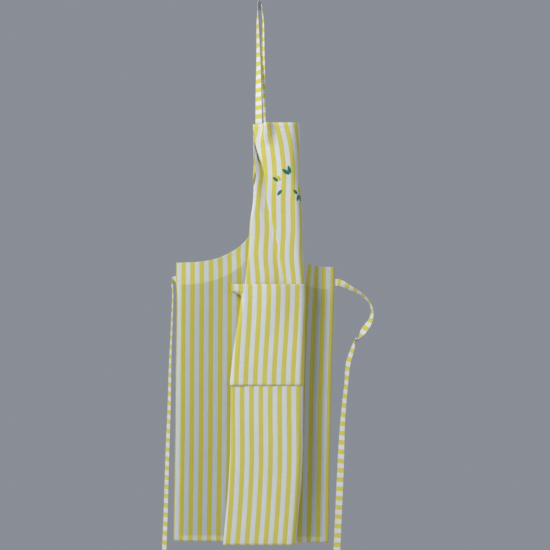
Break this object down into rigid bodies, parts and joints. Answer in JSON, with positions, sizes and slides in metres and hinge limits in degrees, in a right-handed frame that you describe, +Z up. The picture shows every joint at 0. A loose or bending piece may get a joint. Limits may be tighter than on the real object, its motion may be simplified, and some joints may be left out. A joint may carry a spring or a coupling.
{
  "type": "apron on a hook",
  "caption": "Striped bib apron hanging folded by its neck strap from a wall peg, one waist tie laid over a second peg.",
  "frame": {"origin": "where the main peg's axis meets the wall's face", "axes": "+Z up, +X to the right seen from the front, +Y into the wall, so the apron hangs at negative Y"},
  "size_m": [0.4592, 0.1198, 1.3773],
  "materials": {
    "striped_cotton": "plain weave, yellow and white stripes",
    "green_thread": "satin stitch",
    "yellow_thread": "satin stitch",
    "peg_steel": "satin",
    "plug_nylon": "matt"
  },
  "bodies": {
    "wall_hooks": {"hook_peg": "peg_steel", "hook_wall_plug": "plug_nylon", "side_hook_peg": "peg_steel", "side_hook_wall_plug": "plug_nylon"},
    "strap_bight": {"neck_strap_bight": "striped_cotton"},
    "apron": {"neck_strap_left": "striped_cotton", "neck_strap_right": "striped_cotton", "apron_panel": "striped_cotton", "left_armhole_facing": "striped_cotton", "right_armhole_facing": "striped_cotton", "bib_top_hem": "striped_cotton", "bottom_hem": "striped_cotton", "left_side_hem": "striped_cotton", "right_side_hem": "striped_cotton", "pocket": "striped_cotton", "pocket_top_hem": "striped_cotton", "left_tie_sewn_end": "striped_cotton", "leaf_1": "green_thread", "leaf_2": "green_thread", "leaf_3": "green_thread", "leaf_4": "yellow_thread", "leaf_5": "green_thread", "leaf_6": "green_thread", "leaf_7": "yellow_thread", "leaf_8": "green_thread", "leaf_9": "green_thread"},
    "left_tie": {"left_tie": "striped_cotton"},
    "right_tie": {"right_tie": "striped_cotton"}
  },
  "joints": [
    {"name": "lift_off", "type": "slide", "parent": "wall_hooks", "child": "strap_bight", "axis": [0, -0.9659, 0.2588], "range_m": [0, 0.06]},
    {"name": "apron_swing_out", "type": "hinge", "parent": "strap_bight", "child": "apron", "pos_m": [0, -0.028, -0.0103], "axis": [-1, 0, 0], "range_deg": [0, 16]},
    {"name": "left_tie_swing", "type": "hinge", "parent": "apron", "child": "left_tie", "pos_m": [-0.1898, -0.015, -0.6133], "axis": [0, 1, 0], "range_deg": [0, 60]},
    {"name": "right_tie_unhook", "type": "hinge", "parent": "apron", "child": "right_tie", "pos_m": [0.162, -0.003, -0.6008], "axis": [0, 0, -1], "range_deg": [0, 60]}
  ]
}
